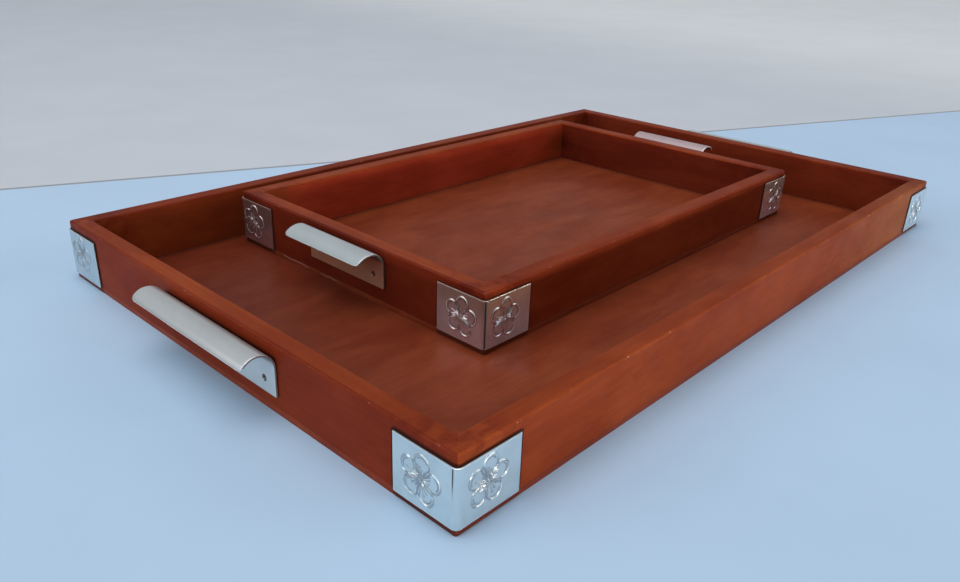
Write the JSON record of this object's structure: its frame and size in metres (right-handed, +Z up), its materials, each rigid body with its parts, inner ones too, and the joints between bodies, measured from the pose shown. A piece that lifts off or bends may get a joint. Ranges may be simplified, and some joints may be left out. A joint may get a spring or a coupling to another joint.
{
  "type": "nested wooden serving trays",
  "caption": "Shallow rectangular wooden serving tray with bent metal corner plates and rolled lip handles, with a smaller tray of the same make standing loose inside it.",
  "frame": {"origin": "on the table, under the middle of the large tray", "axes": "+X along the large tray's long side, +Y across it towards its back board, +Z up"},
  "size_m": [0.482, 0.2926, 0.0357],
  "materials": {
    "frame_board": "reddish-brown mahogany stain with a satin lacquer, fine grain along each board",
    "tray_floor": "reddish-brown stain with a satin lacquer, mottled, darker than the boards",
    "corner_plate": "thin bright-polished sheet with a pressed blossom",
    "handle_sheet": "satin sheet metal, pale grey",
    "screw_steel": "darkened steel, slotted countersunk head",
    "pin_steel": "plain wire steel"
  },
  "bodies": {
    "large_tray": {"large_base_panel": "tray_floor", "large_front_board": "frame_board", "large_back_board": "frame_board", "large_left_board": "frame_board", "large_right_board": "frame_board", "large_corner_plate_front_left": "corner_plate", "large_corner_plate_front_right": "corner_plate", "large_corner_plate_back_left": "corner_plate", "large_corner_plate_back_right": "corner_plate", "large_handle_left": "handle_sheet", "large_handle_right": "handle_sheet", "large_handle_screw_front_left": "screw_steel", "large_handle_screw_front_right": "screw_steel", "large_handle_screw_back_left": "screw_steel", "large_handle_screw_back_right": "screw_steel", "large_panel_pin_front_1": "pin_steel", "large_panel_pin_front_2": "pin_steel", "large_panel_pin_front_3": "pin_steel", "large_panel_pin_back_1": "pin_steel", "large_panel_pin_back_2": "pin_steel", "large_panel_pin_back_3": "pin_steel", "large_panel_pin_left": "pin_steel", "large_panel_pin_right": "pin_steel", "large_corner_brad_front_left": "pin_steel", "large_corner_brad_front_right": "pin_steel", "large_corner_brad_back_left": "pin_steel", "large_corner_brad_back_right": "pin_steel"},
    "small_tray": {"small_base_panel": "tray_floor", "small_front_board": "frame_board", "small_back_board": "frame_board", "small_left_board": "frame_board", "small_right_board": "frame_board", "small_corner_plate_front_left": "corner_plate", "small_corner_plate_front_right": "corner_plate", "small_corner_plate_back_left": "corner_plate", "small_corner_plate_back_right": "corner_plate", "small_handle_left": "handle_sheet", "small_handle_right": "handle_sheet", "small_handle_screw_front_left": "screw_steel", "small_handle_screw_front_right": "screw_steel", "small_handle_screw_back_left": "screw_steel", "small_handle_screw_back_right": "screw_steel", "small_panel_pin_front_1": "pin_steel", "small_panel_pin_front_2": "pin_steel", "small_panel_pin_front_3": "pin_steel", "small_panel_pin_back_1": "pin_steel", "small_panel_pin_back_2": "pin_steel", "small_panel_pin_back_3": "pin_steel", "small_panel_pin_left": "pin_steel", "small_panel_pin_right": "pin_steel", "small_corner_brad_front_left": "pin_steel", "small_corner_brad_front_right": "pin_steel", "small_corner_brad_back_left": "pin_steel", "small_corner_brad_back_right": "pin_steel"}
  },
  "joints": [
    {"name": "small_tray_lift", "type": "slide", "parent": "large_tray", "child": "small_tray", "axis": [0, 0, 1], "range_m": [0, 0.05]}
  ]
}
